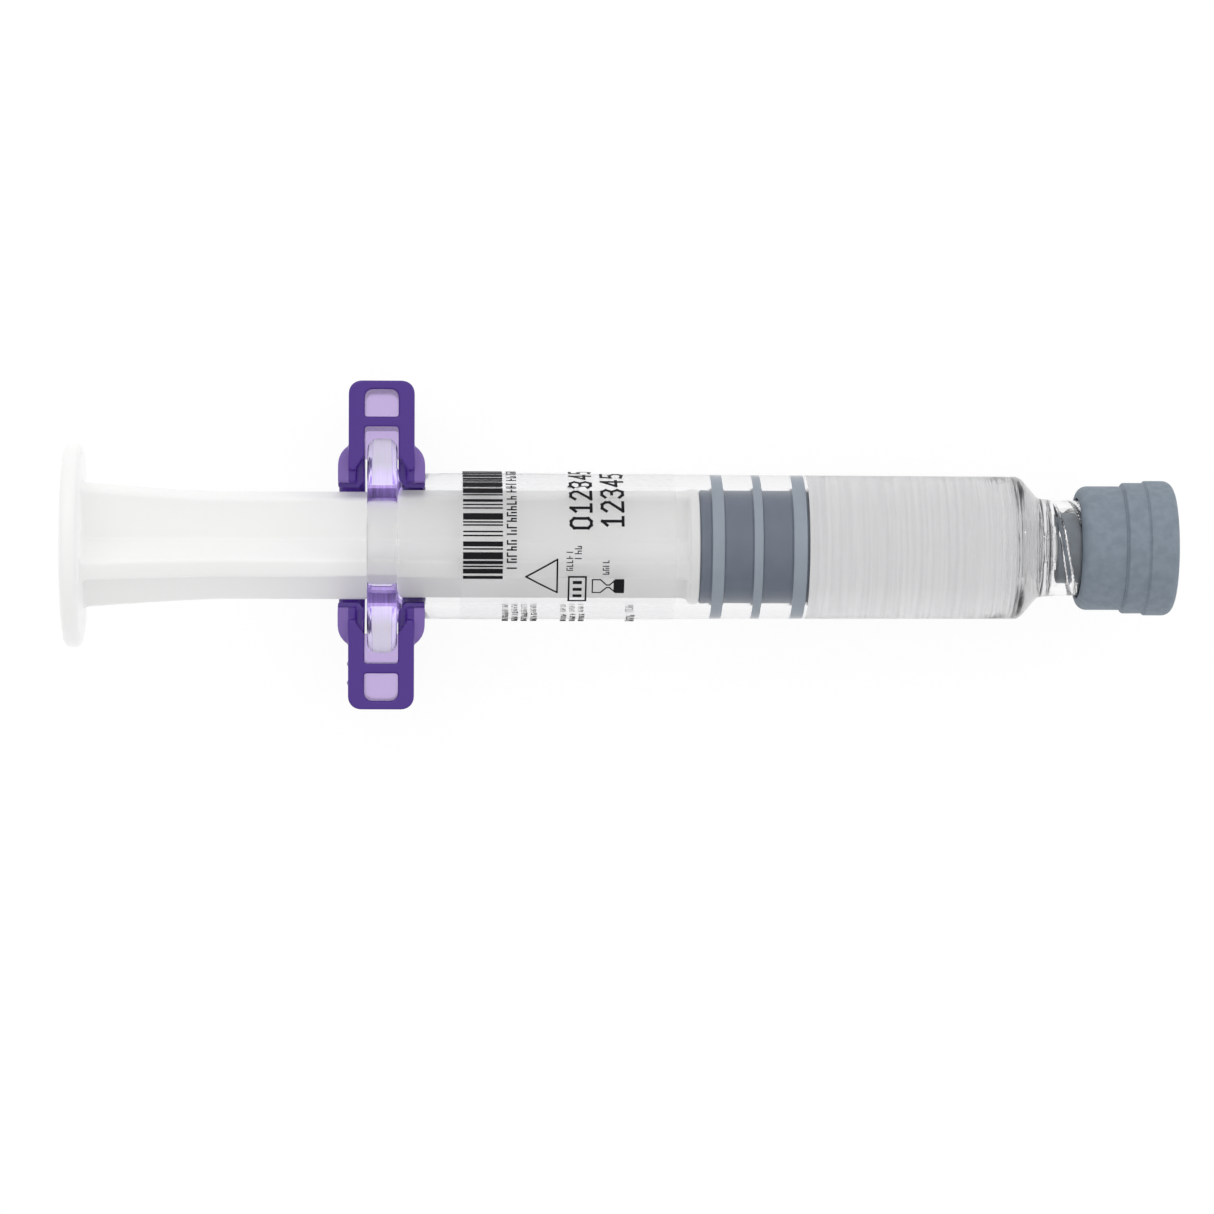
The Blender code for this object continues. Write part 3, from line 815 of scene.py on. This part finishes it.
# %% Gel
gel_finish = new_material("clear gel", (1.0, 1.0, 1.0), 0.05, IOR=1.36, Transmission_Weight=1.0,
                          Specular_IOR_Level=0.15)
streaks = ramp(gel_finish, noise(gel_finish, 2600, 3, (1, 0.02, 0.02)), 0.35, 0.65, 0.0, 1.0)
tint(gel_finish, streaks, (0.86, 0.86, 0.865), (0.98, 0.98, 0.98))
bump(gel_finish, streaks, 0.00003, 1.0)
absorb(gel_finish, (0.76, 0.76, 0.765), 110)
wear(column, gel_finish, "barrel", "gel", "gel_column")
wear(tip_gel, gel_finish, "barrel", "gel", "gel_tip")

# %% White plastic, with a faint painted glow that keeps the rod bright inside the barrel
white = new_material("white plastic", (0.7, 0.7, 0.69), 0.38, Subsurface_Weight=0.25,
                     Subsurface_Radius=(0.0015, 0.0015, 0.0013), Emission_Color=(1.0, 1.0, 1.0, 1),
                     Emission_Strength=0.2)
drive(white, ramp(white, noise(white, 700), 0.3, 0.7, 0.3, 0.45), "Roughness")
bump(white, noise(white, 5000, 4), 0.00001, 0.35)
wear(rod, white, "plunger_rod", "white_plastic", "plunger_rod")

# %% Stopper rubber, and a paler copy of it painted on the ribs where they press on the wall, as painted light
stopper_finish = new_material("stopper rubber", (0.17, 0.2, 0.25), 0.5)
tint(stopper_finish, noise(stopper_finish, 900, 5), (0.135, 0.165, 0.22), (0.185, 0.22, 0.285))
bump(stopper_finish, noise(stopper_finish, 6000, 4), 0.00001, 0.4)
painted_light_rib_finish = new_material("painted rib light rubber", (0.4, 0.45, 0.52), 0.4)
tint(painted_light_rib_finish, noise(painted_light_rib_finish, 900, 5), (0.34, 0.39, 0.46), (0.4, 0.46, 0.53))
wear(stopper, stopper_finish, "stopper", "stopper_rubber", "stopper")
stopper.data.materials.append(painted_light_rib_finish)
# Faces at the bore's radius, the ribs, get the paler copy: painted light, not a different rubber.
for face in stopper.data.polygons:
    radius = Vector((face.center.y, face.center.z - axis_z)).length / MM
    face.material_index = 1 if radius > BORE_R - 0.01 else 0

# %% Cap rubber
cap_finish = new_material("cap rubber", (0.235, 0.27, 0.32), 0.62)
mottle = ramp(cap_finish, noise(cap_finish, 1100, 8), 0.36, 0.64, 0.0, 1.0)
tint(cap_finish, mottle, (0.175, 0.215, 0.262), (0.205, 0.248, 0.3))
drive(cap_finish, ramp(cap_finish, noise(cap_finish, 2500), 0.3, 0.7, 0.5, 0.75), "Roughness")
bump(cap_finish, noise(cap_finish, 3500, 5), 0.00003, 0.5)
wear(cap, cap_finish, "tip_cap", "cap_rubber", "tip_cap")

# %% Violet plastic: polished wings, and a matt saddle whose lighter, milky colour is a painted sheen
violet = new_material("violet plastic", (0.07, 0.035, 0.22), 0.2, Subsurface_Weight=0.1,
                      Subsurface_Radius=(0.001, 0.0007, 0.002))
grip_x = position(violet, "X")
edge_in, edge_out = thumb_x + (WING_START - 0.05) * MM, thumb_x + (WING_START + 0.05) * MM
before_wing = ramp(violet, grip_x, edge_in, edge_out, 1.0, 0.0)
beside_wing = combine(violet, "ADD", before_wing, past(violet, grip_x, thumb_x + WING_END * MM))
over_ledge = past(violet, position(violet, "Z"), axis_z + (LEDGE_TOP + 0.3) * MM)
matt_and_painted_sheen = combine(violet, "MULTIPLY", beside_wing, over_ledge)
# Painted sheen: the matt saddle beside the wings and above the ledge is tinted lighter than the polished
# wings.
tint(violet, matt_and_painted_sheen, (0.056, 0.011, 0.228), (0.185, 0.11, 0.38))
drive(violet, ramp(violet, matt_and_painted_sheen, 0.0, 1.0, 0.2, 0.55), "Roughness")
bump(violet, noise(violet, 900, 3), 0.00001, 0.4)
wear(grip, violet, "barrel", "violet_plastic", "finger_grip")

# %% Thin violet plastic lets the table shine through
thin_violet = new_material("thin violet plastic", (0.6, 0.47, 0.8), 0.15, IOR=1.49,
                           Transmission_Weight=0.96)
bump(thin_violet, noise(thin_violet, 900, 3), 0.00001, 0.5)
for web in webs:
    wear(web, thin_violet, "barrel", "violet_plastic")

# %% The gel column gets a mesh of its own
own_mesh(column)

# %% [markdown]
# ## Stage, light and camera
# The syringe lies on a bright light table, so its clear parts show white behind them and only their
# steep edges turn grey. Nearly all the light comes from the table and the sky, because lamps hardly
# reach through clear walls. The sky is brighter overhead than at the horizon, and brighter towards
# +Y, which models the round pieces. The camera looks nearly straight down from half a metre, through
# a long lens, leaning a little to the thumb end.

# %% Light table
FLOOR = 3.0
floor_mesh = bpy.data.meshes.new("floor")
floor_mesh.from_pydata([(-FLOOR, -FLOOR, 0), (FLOOR, -FLOOR, 0), (FLOOR, FLOOR, 0), (-FLOOR, FLOOR, 0)],
                       [], [(0, 1, 2, 3)])
floor = bpy.data.objects.new("floor", floor_mesh)
floor.location.z = cad_low.z - 0.0003
bpy.context.scene.collection.objects.link(floor)
table_finish = new_material("light table", (0.08, 0.08, 0.08), 0.9, Emission_Strength=0.92,
                            Emission_Color=(1, 1, 1, 1))
floor_mesh.materials.append(table_finish)

# %% Sky and lamps
world = bpy.data.worlds.new("studio")
bpy.context.scene.world = world
world.use_nodes = True
sky = world.node_tree
background = sky.nodes["Background"]
direction = sky.nodes.new("ShaderNodeTexCoord")
tilt = sky.nodes.new("ShaderNodeVectorMath")
tilt.operation = "DOT_PRODUCT"
tilt.inputs[1].default_value = (0.03, 0.2, 0.38)  # how much brighter the sky is towards +X, +Y and +Z
level = sky.nodes.new("ShaderNodeMath")
level.inputs[1].default_value = 0.7  # brightness at the horizon
sky.links.new(direction.outputs["Generated"], tilt.inputs[0])
sky.links.new(tilt.outputs["Value"], level.inputs[0])
sky.links.new(level.outputs["Value"], background.inputs["Strength"])
background.inputs["Color"].default_value = (1, 1, 1, 1)


def soft_lamp(name, place, size, power):
    """A square lamp that faces the middle of the table."""
    lamp = bpy.data.lights.new(name, "AREA")
    lamp.size, lamp.energy = size, power
    obj = bpy.data.objects.new(name, lamp)
    obj.location = place
    obj.rotation_euler = (-Vector(place)).to_track_quat("-Z", "Y").to_euler()
    bpy.context.scene.collection.objects.link(obj)


soft_lamp("key lamp", (-0.25, 0.45, 0.7), 0.4, 0.3)
soft_lamp("edge lamp", (0.6, 0.25, 0.45), 0.07, 0.25)

# %% Camera
DISTANCE, LEAN, ROLL = 0.5, math.radians(2.4), math.radians(0.16)
FIELD, SENSOR = 0.122, 36  # width of the view in metres, and of the sensor in millimetres
camera_data = bpy.data.cameras.new("camera")
camera_data.sensor_width = SENSOR
camera_data.lens = SENSOR * DISTANCE / FIELD
camera_data.clip_start, camera_data.clip_end = 0.01, 20
camera = bpy.data.objects.new("camera", camera_data)
bpy.context.scene.collection.objects.link(camera)
aim = Vector((-0.001325, -0.00608, axis_z))
camera.rotation_euler = Euler((0, -LEAN, ROLL))
camera.location = aim + camera.rotation_euler.to_matrix() @ Vector((0, 0, DISTANCE))
bpy.context.scene.camera = camera

# %% Render settings that belong to the look
scene = bpy.context.scene
scene.view_settings.view_transform = "Standard"
scene.cycles.max_bounces = 24
scene.cycles.transmission_bounces = 24
scene.cycles.transparent_max_bounces = 16
scene.cycles.glossy_bounces = 8
